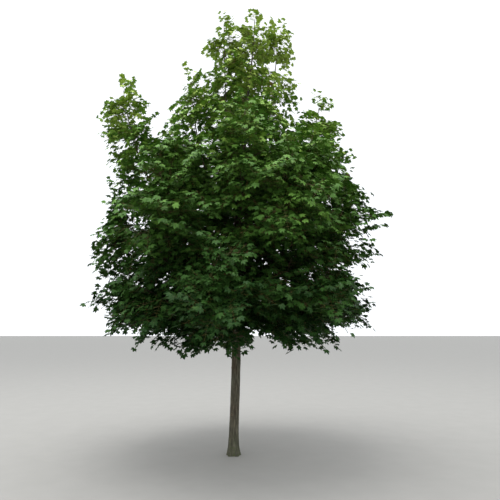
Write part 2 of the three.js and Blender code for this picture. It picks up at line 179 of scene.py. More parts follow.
TWIG_PAIRS = 3
FIRST_PAIR = 0.129
LAST_PAIR = 0.774
FIRST_TURN = 45
PAIR_TURN = 90
TURN_JITTER = 20
GIRTH_JITTER = 0.1
TWIG_ANGLE_LOW = 70
TWIG_ANGLE_HIGH = 36
TWIG_ROOT_SHARE = 0.5
SHORTEST_TWIG = 0.06
END_LEAF_SHARE = 0.6
SPRAY_DROOP = 0.4
FACES_UP = 0.65
FACES_OUT = 0.35
FACES_ASIDE = 0.55
# Where sprays sit along a twig, and how far each swings to one side of it.
TWIG_SPRAYS = ((0.2, -2.2), (0.45, 1.8), (0.62, -1.8), (0.85, 1.5))
TILT_JITTER = 0.4
STEM_TIP_SPRAYS = 3
STEM_TIP_SIZE = 0.62
STEM_TIP_STEP = 0.02
STEM_TIP_SWING = 0.9
CROWN_BASE = 1.29
SITE_SHARES = (0.1, 0.35, 0.62, 0.9)

# What the solids leave to this script: more twigs between theirs, and the shoots and leaves of each spray.

# Places of the extra pairs of twigs on a stem. Below 0 they stand on the bough.
EXTRA_PAIRS = {
    "low": (0.02, 0.2, 0.3, 0.4, 0.52, 0.65),
    "middle": (-0.3, -0.14, 0.02, 0.2, 0.32, 0.45, 0.6, 0.7),
    "spires": (-0.3, -0.14, 0.02, 0.29, 0.45, 0.61),
    "heart": (-0.3, -0.14, 0.02, 0.29, 0.58),
}
# Twigs that leave a stem outward: the place, the swing aside, the rise and the reach.
RING_OUTER_TWIGS = (
    (0.2, 0.6, 0.2, 0.5),
    (0.32, -0.5, 0.05, 0.6),
    (0.44, 0.45, -0.15, 0.6),
    (0.56, -0.3, -0.25, 0.55),
    (0.68, 0.35, -0.35, 0.45),
)
SPIRE_OUTER_TWIGS = ((0.1, 0, -0.1, 0.3), (0.75, 0.1, 0.6, 0.08))
OUTER_TWIGS = {"low": RING_OUTER_TWIGS, "middle": RING_OUTER_TWIGS, "spires": SPIRE_OUTER_TWIGS, "heart": ()}
OUTER_JITTER = 0.15
AIRY = ("right_upright",)  # limbs without extra twigs, so that their stems show
EXTRA_TURN = 45
EXTRA_GIRTH = {"low": 1.12, "middle": 1.12, "spires": 1.04, "heart": 1}  # their reach beside the solids' own
# Whips: thin upright shoots round the tip of a limb.
WHIP_LENGTHS = {"low": (0.15, 0.3), "middle": (0.25, 0.45), "spires": (0.1, 0.2), "heart": (0.2, 0.32)}
WHIP_LEANS = (0.15, 0.55)
WHIP_STEP = 0.035
WHIP_NODES = (0.3, 0.47, 0.63, 0.78, 0.9)
WHIPS = {"low": 3, "middle": 6, "spires": 3, "heart": 5}
# Single sprays on a stem: the place, how far each swings out and up, and its size as a share of a spray.
UPRIGHT_SPRAYS = (
    (0.36, 0.9, 0, 0.8),
    (0.52, 0.9, 0, 0.8),
    (0.64, 0.9, 0, 0.9),
    (0.74, 0.9, 0, 1),
    (0.81, 0.9, 0, 1),
    (0.87, 0.8, 0, 1),
    (0.93, 0.7, 0, 0.9),
)
RING_SPRAYS = (
    (0.36, 0.9, 0.5, 0.8),
    (0.52, 0.9, -0.5, 0.8),
    (0.6, 0.7, 0.8, 1),
    (0.68, 0.7, -0.6, 1),
    (0.75, 0.6, 0.7, 1),
    (0.81, 0.6, -0.6, 1),
    (0.86, 0.6, 0.5, 1),
    (0.9, 0.6, -0.5, 1),
    (0.95, 0.5, 0.4, 0.9),
)
STEM_SPRAYS = {"low": RING_SPRAYS, "middle": RING_SPRAYS, "spires": UPRIGHT_SPRAYS, "heart": UPRIGHT_SPRAYS}
GOLDEN_ANGLE = math.radians(137.5)  # from one of these to the next
TWIG_TIP_RADIUS = 0.0022
TWIG_SIDES = 5
TWIG_RINGS = 4
TWIG_SWAY = 0.06  # how far a twig's middle bows, as a share of its length
SHOOT_SHARE = 0.72  # length of a spray's main shoot, as a share of the spray
SHOOT_SIDES = 3
SHOOT_RADIUS = 0.0018
SHOOT_TIP_RADIUS = 0.0011
SHOOT_SAG = 0.1
BENT_NODES = 3  # shoots with fewer nodes are straight
SHOOT_NODES = (0.15, 0.31, 0.46, 0.6, 0.74, 0.88)  # where pairs of leaves stand on a shoot
SIDE_NODES = (0.35, 0.7)
SIDE_SHOOT_AT = 0.42
SIDE_SHOOT_SHARE = 0.3
SIDE_SHOOT_ANGLE = 55

LEAF_LENGTH = 0.07  # from its stalk to the tip of its middle lobe
LEAF_SIZES = (0.75, 1.12)
TOP_LEAF_SHARE = 0.8  # size of the leaves at the crown's top, as a share of those at its base
STALK_LENGTHS = (0.035, 0.085)
STALK_RISE = 0.25
STALK_RADIUS = 0.0014
LEAF_RISE = 0.85  # how much of a leaf's facing is up
LEAF_OUT = 0.32  # and away from the trunk
LEAF_TURN = 0.62  # and to a side of its own
LEAF_TURN_RISE = 0.5  # how far that side may be above or below the level
LEAF_DROOP = 0.45
LEAF_SPREADS = (0.6, 1.4)  # how far a pair of leaves swings out from its shoot

REACH_MARGIN = 0.05  # how far the middle of a leaf may pass the solids' own box
SPACE_SLACK = 0.11  # and the border of its mass's space
TRUNK_CLEARANCE = 0.03

# Leaf colours from the crown's depth to its top, and last the young leaves' own colour. The greens are
# painted shade deep in the crown and at its base, and painted light towards its top and outer face.
LEAF_TONES_WITH_PAINTED_LIGHT = {
    "deep": "#22431a",
    "dark": "#30541f",
    "green": "#456c29",
    "painted_half_lit": "#5e8736",
    "bright": "#80a445",
    "pale": "#a4bc5a",
    "young": "#7f6a3c",
}
CROWN_RADIUS = 2.0
PAINTED_EDGE_LIGHT = 0.35  # how much more painted light the leaf tones show at the crown's outer face than at its middle
TONE_JITTER = 0.13
LEAF_JITTER = 0.1  # and how much more each leaf of a spray differs
LOW_JITTER = 0.3  # how much of both is left at the crown's base
YOUNG_LIGHT = 0.5  # sprays with young leaves at the tip stand where the painted light is more than this
YOUNG_SHARE = 0.02
YOUNG = 9  # the light that marks them

# Material slots of the twigs' meshes.
STEM, TWIG, SHOOT, STALK = range(4)
TIERS = ("low", "middle", "spires", "heart")
SIDES = ("left", "right")

FLOOR_SIZE = 400
FLOOR_ROUGHNESS = 0.9
SKY_COLOUR = "#f3f6fa"
SKY_STRENGTH = 1.3
LIGHT_AIM = (0, 0, 3)
AREA_LIGHTS = (
    ("overhead", (-2, -1, 16), 12, 1300),
    ("front", (-5, -13, 8), 10, 200),
)
CAMERA_PLACE = (0.2176, -6.77, 1.6)
CAMERA_PITCH = 9.58
CAMERA_LENS = 35
CAMERA_SENSOR = 36


def random_stream(seed):
    """A repeatable stream of numbers from 0 to 1, the same as the solids' for the same seed."""
    mask = 0xFFFFFFFF
    state = ((seed + 1) * 0x9E3779B1) & mask
    while True:
        state = (state + 0x6D2B79F5) & mask
        mixed = ((state ^ (state >> 15)) * (1 | state)) & mask
        mixed = (mixed + (((mixed ^ (mixed >> 7)) * (61 | mixed)) & mask)) & mask ^ mixed
        yield (mixed ^ (mixed >> 14)) / 2**32


def spread(stream, reach):
    return (2 * next(stream) - 1) * reach


def between(stream, limits):
    return lerp(limits[0], limits[1], next(stream))


def lerp(start, end, share):
    return start + (end - start) * share


def outward(angle):
    return Vector((math.cos(angle), math.sin(angle), 0))


def square_to(along, sideways):
    """The direction square to along that is nearest to sideways."""
    return (sideways - along * sideways.dot(along)).normalized()


def trunk_middle(height):
    above = 1
    while above < len(TRUNK_LEAN) - 1 and TRUNK_LEAN[above]["height"] < height:
        above += 1
    low, high = TRUNK_LEAN[above - 1], TRUNK_LEAN[above]
    share = (height - low["height"]) / (high["height"] - low["height"])
    share = min(max(share, 0), 1)
    eased = share * share * (3 - 2 * share)
    return Vector((lerp(low["right"], high["right"], eased), lerp(low["back"], high["back"], eased), height))


def trunk_radius(height):
    if height < TRUNK_SPLITS:
        return TRUNK_RADIUS + (FLARE_RADIUS - TRUNK_RADIUS) * math.exp(-height / FLARE_HEIGHT)
    if height < TRUNK_TOP:
        return lerp(TRUNK_RADIUS, LEADER_RADIUS, (height - TRUNK_SPLITS) / (TRUNK_TOP - TRUNK_SPLITS))
    return lerp(LEADER_RADIUS, LEADER_TIP_RADIUS, (height - TRUNK_TOP) / (TREE_TIP - TRUNK_TOP))


@dataclass
class Limb:
    """A limb: its curve as a function of t from 0 to 1, its radius there, and what its foliage needs."""

    name: str
    tier: str
    seed: int
    shape: dict
    point: object
    radius: object
    sideways: Vector

    def tangent(self, t):
        step = 1e-4
        return (self.point(min(t + step, 1)) - self.point(max(t - step, 0))).normalized()

    def sites(self):
        return [self.point(lerp(self.shape["bare"], 1, share)) for share in SITE_SHARES]


def curved_limb(name, tier, seed, shape):
    """A limb that bends once, from the trunk's middle to its tip."""
    angle = math.radians(shape["azimuth"])
    out = outward(angle)
    foot = trunk_middle(shape["attach"])
    turn = foot + out * shape["reach"] * shape["bend"][0] + UP * shape["rise"] * shape["bend"][1]
    tip = foot + out * shape["reach"] + UP * shape["rise"]

    def point(t):
        return foot * (1 - t) ** 2 + turn * 2 * t * (1 - t) + tip * t * t

    steps = [point(n / LENGTH_STEPS) for n in range(LENGTH_STEPS + 1)]
    root = sum((b - a).length for a, b in zip(steps, steps[1:])) * LIMB_ROOT_PER_LENGTH

    def radius(t):
        return lerp(root, LIMB_TIP_RADIUS, t**LIMB_TAPER)

    return Limb(name, tier, seed, shape, point, radius, outward(angle + math.pi / 2))


def ring_limbs(ring):
    for place in range(ring["count"]):
        seed = SEEDS[ring["name"]] + place
        stream = random_stream(seed)
        climb = ring["climb"] * ((place * RING_STRIDE) % ring["count"])
        shape = {
            **ring,
            "azimuth": ring["turn"] + 360 * place / ring["count"] + spread(stream, AZIMUTH_JITTER),
            "attach": ring["attach"] + climb,
            "reach": ring["reach"] * (1 + spread(stream, SIZE_JITTER)),
            "rise": ring["rise"] * (1 + spread(stream, SIZE_JITTER)) - RISE_LOST * climb,
        }
        yield curved_limb(f"{ring['name']}_{place + 1}", ring["name"], seed, shape)


def spire_limbs(spires, shape, tier, first_seed):
    for number, spire in enumerate(spires):
        merged = {**shape, **spire, "rise": spire["top"] - spire["attach"]}
        yield curved_limb(spire["name"], tier, first_seed + number, merged)


def leader_limb():
    """The trunk goes on as the stem of the topmost mass."""
    return Limb(
        name="leader",
        tier="heart",
        seed=SEEDS["leader"],
        shape={**LEADER_SHAPE, "bare": TRUNK_TOP / TREE_TIP},
        point=lambda t: trunk_middle(t * TREE_TIP),
        radius=lambda t: trunk_radius(t * TREE_TIP),
        sideways=Vector((0, 1, 0)),
    )


def all_limbs():
    limbs = [limb for ring in RINGS for limb in ring_limbs(ring)]
    limbs += spire_limbs(SPIRES, SPIRE_SHAPE, "spires", SEEDS["spires"])
    limbs += spire_limbs(HEART, HEART_SHAPE, "heart", SEEDS["heart"])
    limbs += spire_limbs(UPRIGHTS, UPRIGHT_SHAPE, "heart", SEEDS["uprights"])
    limbs.append(leader_limb())
    return limbs


LIMBS = all_limbs()
SITES = np.array([site for limb in LIMBS for site in limb.sites()])


# Meshes.

STEEP = 0.8  # the rise of a direction that is taken for upright


class Shape:
    """Faces gathered for one joined mesh: corners, triangles or quads, and a material for each face."""

    def __init__(self):
        self.corners = []
        self.faces = []
        self.face_materials = []
        self.count = 0

    def add(self, corners, faces, material=0):
        self.corners.append(corners)
        self.faces.extend((np.asarray(faces) + self.count).tolist())
        self.face_materials.extend([material] * len(faces))
        self.count += len(corners)

    def add_shape(self, other):
        self.corners.extend(other.corners)
        self.faces.extend([[corner + self.count for corner in face] for face in other.faces])
        self.face_materials.extend(other.face_materials)
        self.count += other.count

    def to_object(self, name, materials):
        mesh = bpy.data.meshes.new(name)
        mesh.from_pydata(np.concatenate(self.corners).tolist(), [], self.faces)
        mesh.polygons.foreach_set("material_index", self.face_materials)
        mesh.polygons.foreach_set("use_smooth", [True] * len(mesh.polygons))
        mesh.update()
        for material in materials:
            mesh.materials.append(material)
        made = bpy.data.objects.new(name, mesh)
        bpy.context.scene.collection.objects.link(made)
        return made


def tube_faces(rings, sides):
    """The quads between neighbouring rings of a tube."""
    faces = []
    for ring in range(rings - 1):
        for side in range(sides):
            after = (side + 1) % sides
            low, high = ring * sides, (ring + 1) * sides
            faces.append((low + side, low + after, high + after, high + side))
    return faces


def tube(points, radii, sides, sideways):
    """Corners and faces of an open tube through the points."""
    points = np.array(points)
    along = np.gradient(points, axis=0)
    along /= np.linalg.norm(along, axis=1, keepdims=True)
    across = np.array(sideways) - along * (along @ np.array(sideways))[:, None]
    across /= np.linalg.norm(across, axis=1, keepdims=True)
    third = np.cross(along, across)
    angles = 2 * np.pi * np.arange(sides) / sides
    ring = np.cos(angles)[None, :, None] * across[:, None] + np.sin(angles)[None, :, None] * third[:, None]
    corners = points[:, None] + np.array(radii)[:, None, None] * ring
    return corners.reshape(-1, 3), tube_faces(len(points), sides)


def any_square_to(along):
    is_steep = abs(along.z) >= STEEP
    return square_to(along, Vector((1, 0, 0)) if is_steep else UP)


# Limbs with bark.

TRUNK_SIDES = 56
TRUNK_RING_STEP = 0.02
BOUGH_SIDES = 14
BOUGH_RING_STEP = 0.03
BOUGH_LEAST_RINGS = 8
STEM_SIDES = 8
STEM_RINGS = 14
FISSURE_DEPTH = 0.0016
FISSURE_SCALE = 160
FISSURE_LAYERS = (0.8, 2.2, 3)  # how finer layers weaken, how much finer each is, and how many there are
FISSURE_STRETCH = 7  # how much longer than wide a fissure is
LUMP_DEPTH = 0.0035
LUMP_SIZE = 0.16
BOUGH_RELIEF = 0.45  # depth of a bough's relief, as a share of the trunk's
COLLAR_SWELL = 0.55  # how much thicker a bough is where it leaves the trunk
COLLAR_LENGTH = 0.035
# Healed scars of shed twigs: height, azimuth and radius.
SCARS = ((0.52, 236, 0.021), (0.86, 292, 0.012), (1.12, 205, 0.013), (1.02, 60, 0.015), (0.66, 130, 0.012))
# The ring round a scar and the hollow in it: how far each stands out or in, where the ring is highest, and
# how soft each one's slope is, all in radii of the scar.
SCAR_RING = 0.32
SCAR_RING_PLACE = 0.9
SCAR_RING_SLOPE = 0.12
SCAR_HOLLOW = 0.16
SCAR_HOLLOW_SLOPE = 0.15


def bark_relief(spot, along, depth):
    """How far the bark stands out at a spot on a limb: fine fissures that run along it, and broad lumps."""
    squeezed = spot - along * spot.dot(along) * (1 - 1 / FISSURE_STRETCH)
    fissures = noise.fractal(squeezed * FISSURE_SCALE, *FISSURE_LAYERS)
    lumps = noise.noise(spot / LUMP_SIZE)
    return depth * (FISSURE_DEPTH * fissures + LUMP_DEPTH * lumps)


def scar_centre(height, azimuth):
    return trunk_middle(height) + outward(math.radians(azimuth)) * trunk_radius(height)


def scar_relief(spot):
    """A healed scar is a raised ring round a small hollow."""
    relief = 0
    for height, azimuth, size in SCARS:
        away = (spot - scar_centre(height, azimuth)).length / size
        ring = SCAR_RING * math.exp(-((away - SCAR_RING_PLACE) ** 2) / SCAR_RING_SLOPE)
        hollow = SCAR_HOLLOW * math.exp(-(away**2) / SCAR_HOLLOW_SLOPE)
        relief += size * (ring - hollow)
    return relief


def trunk_object(materials):
    rings = int(TRUNK_TOP / TRUNK_RING_STEP) + 1
    corners = []
    for ring in range(rings):
        height = TRUNK_TOP * ring / (rings - 1)
        middle = trunk_middle(height)
        flare = math.exp(-height / FLARE_HEIGHT) * LOBE_DEPTH
        for side in range(TRUNK_SIDES):
            angle = 2 * math.pi * side / TRUNK_SIDES
            out = outward(math.pi / 2 - angle)
            radius = trunk_radius(height) * (1 + flare * math.cos(FLARE_LOBES * angle))
            spot = middle + out * radius
            radius += bark_relief(spot, UP, min(1, radius / TRUNK_RADIUS)) + scar_relief(spot)
            corners.append(middle + out * radius)
    shape = Shape()
    shape.add(np.array(corners), tube_faces(rings, TRUNK_SIDES))
    for end in (0, rings - 1):
        shape.faces.append(list(range(end * TRUNK_SIDES, (end + 1) * TRUNK_SIDES)))
        shape.face_materials.append(0)
    return shape.to_object("bark_trunk", materials)


def bough_object(limb, materials):
    """The bare part of a limb, with a collar where it leaves the trunk."""
    length = (limb.point(limb.shape["bare"]) - limb.point(0)).length
    rings = max(BOUGH_LEAST_RINGS, int(length / BOUGH_RING_STEP))
    corners = []
    for ring in range(rings):
        t = limb.shape["bare"] * ring / (rings - 1)
        middle = limb.point(t)
        along = limb.tangent(t)
        across = square_to(along, limb.sideways)
        third = along.cross(across)
        beyond = max(0, (middle - limb.point(0)).length - trunk_radius(middle.z))
        radius = limb.radius(t) * (1 + COLLAR_SWELL * math.exp(-beyond / COLLAR_LENGTH))
        for side in range(BOUGH_SIDES):
            angle = 2 * math.pi * side / BOUGH_SIDES
            out = across * math.cos(angle) + third * math.sin(angle)
            spot = middle + out * radius
            corners.append(spot + out * bark_relief(spot, along, BOUGH_RELIEF))
    shape = Shape()
    shape.add(np.array(corners), tube_faces(rings, BOUGH_SIDES))
    return shape.to_object(f"bark_{limb.name}", materials)


# Twigs, shoots and leaves.

# Half of a leaf's outline, from the tip of the middle lobe round to the stalk: the angle in degrees and the
# length of each corner. The dips between the lobes are marked.
LEAF_OUTLINE = (
    (0, 1, False),
    (15, 0.77, False),
    (25, 0.62, True),
    (45, 0.93, False),
    (67, 0.55, True),
    (90, 0.67, False),
    (130, 0.28, True),
)
VEIN_STEP = 45  # degrees between the veins of neighbouring lobes
LEAF_CURLS = (0.1, 0.2, 0.32, 0.16, 0.26)  # one for each form of leaf
LEAF_FOLDS = (0.07, 0.03, 0.06, 0.1, 0.05)
LEAF_TWISTS = (0.04, -0.1, 0.08, 0, -0.06)


def leaf_forms():
    """Corners of each form of leaf of length 1, as x across, y along and z up, and the faces of all."""
    left = [(-angle, length, dip) for angle, length, dip in reversed(LEAF_OUTLINE[1:])]
    whole = [*left, *LEAF_OUTLINE]
    forms = []
    for curl, fold, twist in zip(LEAF_CURLS, LEAF_FOLDS, LEAF_TWISTS):
        corners = [(0, 0, 0)]
        for angle, length, dip in whole:
            x = length * math.sin(math.radians(angle))
            y = length * math.cos(math.radians(angle))
            z = (fold if dip else 0) - curl * length**2 + twist * x * y
            corners.append((x, y, z))
        forms.append(corners)
    # The face list runs round the outline, and leaves the notch at the stalk open.
    faces = [(0, n + 1, n) for n in range(1, len(whole))]
    return np.array(forms), np.array(faces)


LEAF_FORMS, LEAF_FACES = leaf_forms()


@dataclass
class Leaf:
    start: Vector
    base: Vector
    across: Vector
    along: Vector
    facing: Vector
    size: float
    form: int
    tone: int


class Foliage:
    """What one mass has grown: its twigs as a shape, and a list of leaves that are made all at once."""

    def __init__(self, limb):
        self.limb = limb
        self.twigs = Shape()
        self.leaves = []

    def add_tube(self, points, radii, sides, material):
        points = [Vector(point) for point in points]
        sideways = any_square_to((points[-1] - points[0]).normalized())
        self.twigs.add(*tube(points, radii, sides, sideways), material)


def new_leaf(start, heading, light, stream):
    """A leaf on its stalk: the stalk leaves the shoot at start, and the blade hangs out from its end."""
    aside = Vector((spread(stream, 1), spread(stream, 1), spread(stream, LEAF_TURN_RISE)))
    out = Vector((start.x, start.y, 0)).normalized()
    facing = (UP * LEAF_RISE + out * LEAF_OUT + aside * LEAF_TURN).normalized()
    base = start + (heading + UP * STALK_RISE).normalized() * between(stream, STALK_LENGTHS)
    along = square_to(facing, heading - UP * LEAF_DROOP)
    size = LEAF_LENGTH * between(stream, LEAF_SIZES) * lerp(1, TOP_LEAF_SHARE, height_share(start))
    form = int(next(stream) * len(LEAF_FORMS))
    # The leaf's tone is painted light and shade, from the spray's painted light and a little of its own.
    tone = leaf_tone(light + spread(stream, LEAF_JITTER) * lerp(LOW_JITTER, 1, height_share(start)))
    return Leaf(start, base, along.cross(facing), along, facing, size, form, tone)


def keeps_to_space(points, limb):
    """Whether each point lies nearest to its own mass's stem, and inside the crown's box."""
    points = np.atleast_2d(points)
    distances = np.linalg.norm(points[:, None] - SITES[None], axis=2)
    own = LIMBS.index(limb) * len(SITE_SHARES)
    mine = distances[:, own : own + len(SITE_SHARES)].min(axis=1)
    low, high = np.array(CAD_BOX[0]) - REACH_MARGIN, np.array(CAD_BOX[1]) + REACH_MARGIN
    inside = np.all((points > low) & (points < high), axis=1)
    return (mine <= distances.min(axis=1) + SPACE_SLACK) & inside & (points[:, 2] > CROWN_BASE)


def leaf_frame(root, heading, tilt):
    """The solids' rule for the directions along and across a spray."""
    out = Vector((root.x, root.y, 0)).normalized()
    facing = (out * FACES_OUT + outward(tilt) * FACES_ASIDE + UP * FACES_UP).normalized()
    along = square_to(facing, heading - UP * SPRAY_DROOP)
    return along, along.cross(facing)


def girth_share(limb, share):
    return math.sin(math.pi * lerp(*limb.shape["swell"], share))


@dataclass
class Twig:
    start: Vector
    direction: Vector
    reach: float
    radius: float
    tilt: float
    flip: int
    stream: object


def twig_plans(limb):
    """The solids' pairs of twigs on a stem, and the extra pairs between them."""
    # The place, extra turn and extra girth of each pair.
    places = [(lerp(FIRST_PAIR, LAST_PAIR, pair / (TWIG_PAIRS - 1)), 0, 1) for pair in range(TWIG_PAIRS)]
    if limb.name not in AIRY:
        places += [(share, EXTRA_TURN, EXTRA_GIRTH[limb.tier]) for share in EXTRA_PAIRS[limb.tier]]
    for number in range(2 * len(places)):
        stream = random_stream(STREAMS_PER_LIMB * limb.seed + number)
        pair = number // 2
        share, extra_turn, extra_girth = places[pair]
        degrees = 180 * number + PAIR_TURN * pair + FIRST_TURN + extra_turn + spread(stream, TURN_JITTER)
        t = lerp(limb.shape["bare"], 1, share)
        along = limb.tangent(t)
        side = Quaternion(along, math.radians(degrees)) @ square_to(along, limb.sideways)
        lean = math.radians(lerp(TWIG_ANGLE_LOW, TWIG_ANGLE_HIGH, share))
        direction = along * math.cos(lean) + side * math.sin(lean) + UP * limb.shape["lift"]
        girth = limb.shape["girth"] * girth_share(limb, share) * (1 + spread(stream, GIRTH_JITTER))
        girth *= extra_girth
        reach = max(girth - END_LEAF_SHARE * limb.shape["spray"], SHORTEST_TWIG)
        tilt = 2 * math.pi * next(stream)
        flip = -1 if next(stream) < 0.5 else 1
        radius = limb.radius(t) * TWIG_ROOT_SHARE
        yield Twig(limb.point(t), direction.normalized(), reach, radius, tilt, flip, stream)


def outer_twigs(limb):
    """The twigs that fill the crown's outer face between the limbs' ends."""
    stream = random_stream(STREAMS_PER_LIMB * limb.seed + OUTER_STREAM)
    for place, swing, rise, reach in OUTER_TWIGS[limb.tier]:
        t = lerp(limb.shape["bare"], 1, place)
        start = limb.point(t)
        out = Vector((start.x, start.y, 0)).normalized()
        aside = limb.sideways * (swing + spread(stream, OUTER_JITTER))
        direction = (out + aside + UP * (rise + spread(stream, OUTER_JITTER))).normalized()
        tilt = 2 * math.pi * next(stream)
        flip = -1 if next(stream) < 0.5 else 1
        yield Twig(start, direction, reach, limb.radius(t) * TWIG_ROOT_SHARE, tilt, flip, stream)


def height_share(spot):
    """0 at the crown's base and 1 at its top."""
    return (spot.z - CROWN_BASE) / (CAD_BOX[1][2] - CROWN_BASE)


def painted_spray_lights(root, stream):
    """The painted light on a spray, and on its tip: it picks the leaves' tones, paler towards the crown's
    top and outer face, and darker as painted shade deep in the crown and at its base.
    """
    edge = math.hypot(root.x, root.y) / CROWN_RADIUS
    height = height_share(root)
    light = height + PAINTED_EDGE_LIGHT * edge * height
    light += spread(stream, TONE_JITTER) * lerp(LOW_JITTER, 1, height)
    is_young = next(stream) < YOUNG_SHARE and light > YOUNG_LIGHT
    return light, YOUNG if is_young else light


def leaf_tone(light):
    """The number of the leaf tone that a leaf with so much painted light has: the darker tones are painted
    shade, the paler ones painted light, and the last is the young leaves' own colour.
    """
    greens = len(LEAF_TONES_WITH_PAINTED_LIGHT) - 1
    if light > YOUNG - 2 * LEAF_JITTER:
        return greens
    return min(max(int(light * greens), 0), greens - 1)


def kept_leaves(leaves, limb):
    """The leaves that keep to their mass's space, and clear of the trunk."""
    middles = np.array([leaf.base + leaf.along * leaf.size * 0.5 for leaf in leaves])
    kept = keeps_to_space(middles, limb)
    return [leaf for leaf, keep in zip(leaves, kept) if keep and clear_of_trunk(leaf)]


def clear_of_trunk(leaf):
    if leaf.base.z > TRUNK_TOP:
        return True
    away = leaf.base - trunk_middle(leaf.base.z)
    return away.length > trunk_radius(leaf.base.z) + TRUNK_CLEARANCE


def grow_shoot(foliage, spot, heading, across, nodes, lights, stream):
    """A shoot with a leaf at its end and a pair at each node, as far as the last leaf that is kept.

    lights are the painted light of the shoot and of its tip, which pick its leaves' tones.
    """
    leaves = {1: [new_leaf(spot(1), heading, lights[1], stream)]}
    for share in nodes:
        aims = [heading + across * side * between(stream, LEAF_SPREADS) for side in (-1, 1)]
        light = lights[1] if share == nodes[-1] else lights[0]
        leaves[share] = [new_leaf(spot(share), aim, light, stream) for aim in aims]
    kept = {share: kept_leaves(pair, foliage.limb) for share, pair in leaves.items()}
    reach = max((share for share, pair in kept.items() if pair), default=0)
    if reach:
        steps = 1 if len(nodes) < BENT_NODES else 2
        shares = [reach * n / steps for n in range(steps + 1)]
        radii = [lerp(SHOOT_RADIUS, SHOOT_TIP_RADIUS, n / steps) for n in range(steps + 1)]
        foliage.add_tube([spot(share) for share in shares], radii, SHOOT_SIDES, SHOOT)
        foliage.leaves.extend(leaf for pair in kept.values() for leaf in pair)


def grow_spray(foliage, root, along, across, length, stream):
    """A shoot along the middle of a spray, with pairs of leaves, and a side shoot to each side."""
    lights = painted_spray_lights(root, stream)
    main = SHOOT_SHARE * length

    def spot(share):
        return root + along * main * share - UP * SHOOT_SAG * main * share**2

    grow_shoot(foliage, spot, along, across, SHOOT_NODES, lights, stream)
    fork = spot(SIDE_SHOOT_AT)
    angle = math.radians(SIDE_SHOOT_ANGLE)
    for side in (-1, 1):
        heading = along * math.cos(angle) + across * side * math.sin(angle)
        end = fork + heading * SIDE_SHOOT_SHARE * length
        side_across = along.cross(across).cross(heading)
        grow_shoot(foliage, partial(fork.lerp, end), heading, side_across, SIDE_NODES, lights, stream)


def grow_twig(foliage, twig):
    """A twig with a spray at its end and more along it, left out where it ends beyond its mass's space."""
    length = foliage.limb.shape["spray"]
    end_along, end_across = leaf_frame(twig.start, twig.direction, twig.tilt)
    tilts = [twig.tilt + spread(twig.stream, TILT_JITTER) for _ in TWIG_SPRAYS]
    bow = end_across * spread(twig.stream, TWIG_SWAY) + UP * spread(twig.stream, TWIG_SWAY)

    def spot(share):
        return twig.start + (twig.direction * share + bow * 4 * share * (1 - share)) * twig.reach

    if not keeps_to_space([spot(1)], foliage.limb)[0]:
        return
    shares = [n / TWIG_RINGS for n in range(TWIG_RINGS + 1)]
    radii = [lerp(twig.radius, TWIG_TIP_RADIUS, share) for share in shares]
    foliage.add_tube([spot(share) for share in shares], radii, TWIG_SIDES, TWIG)
    grow_spray(foliage, spot(1), end_along, end_across, length, twig.stream)
    for (place, swing), tilt in zip(TWIG_SPRAYS, tilts):
        turned = (twig.direction + end_across * swing * twig.flip).normalized()
        along, across = leaf_frame(twig.start, turned, tilt)
        grow_spray(foliage, spot(place), along, across, length, twig.stream)


def grow_on_stem(foliage, place, turn, swing, lift, size, stream):
    """A spray that sits on the stem itself, and swings out to the side that turn gives."""
    limb = foliage.limb
    root = limb.point(place)
    heading = (limb.tangent(place) + outward(turn) * swing + UP * lift).normalized()
    along, across = leaf_frame(root, heading, turn)
    grow_spray(foliage, root, along, across, size * limb.shape["spray"], stream)


def grow_whip(foliage, place, turn, stream):
    """A thin upright shoot from the stem, with leaves from a third of its length up."""
    root = foliage.limb.point(place)
    heading = (UP + outward(turn) * between(stream, WHIP_LEANS)).normalized()
    end = root + heading * between(stream, WHIP_LENGTHS[foliage.limb.tier])
    across = square_to(heading, outward(turn + math.pi / 2))
    lights = painted_spray_lights(root, stream)
    grow_shoot(foliage, partial(root.lerp, end), heading, across, WHIP_NODES, lights, stream)


def grow_mass(limb):
    """A mass of foliage: its stem, the twigs and sprays on it, and the sprays and whips round its tip."""
    foliage = Foliage(limb)
    bare = limb.shape["bare"]
    places = [lerp(bare, 1, n / STEM_RINGS) for n in range(STEM_RINGS + 1)]
    points = [limb.point(t) for t in places]
    radii = [limb.radius(t) for t in places]
    foliage.twigs.add(*tube(points, radii, STEM_SIDES, limb.sideways), STEM)
    for twig in (*twig_plans(limb), *outer_twigs(limb)):
        grow_twig(foliage, twig)
    stream = random_stream(STREAMS_PER_LIMB * limb.seed + TIP_STREAM)
    tip_turn = 2 * math.pi * next(stream)
    for number in range(STEM_TIP_SPRAYS):
        turn = 2 * math.pi * number / STEM_TIP_SPRAYS + tip_turn
        swing = 0 if number == 0 else STEM_TIP_SWING
        grow_on_stem(foliage, 1 - STEM_TIP_STEP * (number + 0.5), turn, swing, 0, STEM_TIP_SIZE, stream)
    for number, (share, swing, lift, size) in enumerate(STEM_SPRAYS[limb.tier]):
        turn = GOLDEN_ANGLE * number + tip_turn
        grow_on_stem(foliage, lerp(bare, 1, share), turn, swing, lift, size, stream)
    for number in range(WHIPS[limb.tier]):
        grow_whip(foliage, 1 - WHIP_STEP * number, GOLDEN_ANGLE * number - tip_turn, stream)
    return foliage


